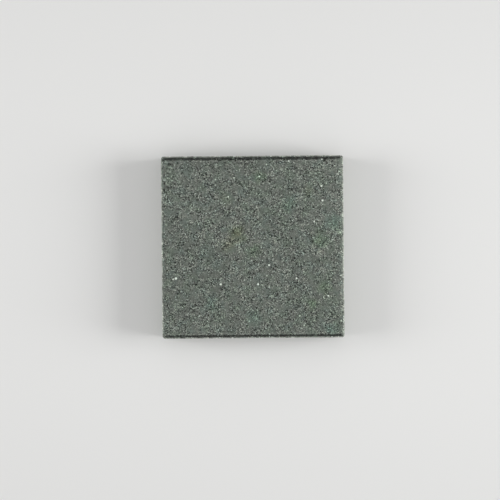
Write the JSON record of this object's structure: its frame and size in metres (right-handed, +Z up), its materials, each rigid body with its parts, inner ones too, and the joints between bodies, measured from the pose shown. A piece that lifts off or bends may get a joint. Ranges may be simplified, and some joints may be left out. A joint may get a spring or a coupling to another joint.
{
  "type": "concrete paving slab",
  "caption": "Square pressed concrete paving slab with a sloping facet round its wearing face, eased arrises and a flat bedding face.",
  "frame": {"origin": "middle of the bedding face, on the level floor", "axes": "+Z up through the thickness, out of the wearing face; X and Y along the sides"},
  "size_m": [0.298, 0.298, 0.05],
  "materials": {
    "concrete": "matte"
  },
  "bodies": {
    "root": {"paving_slab": "concrete"}
  },
  "joints": []
}
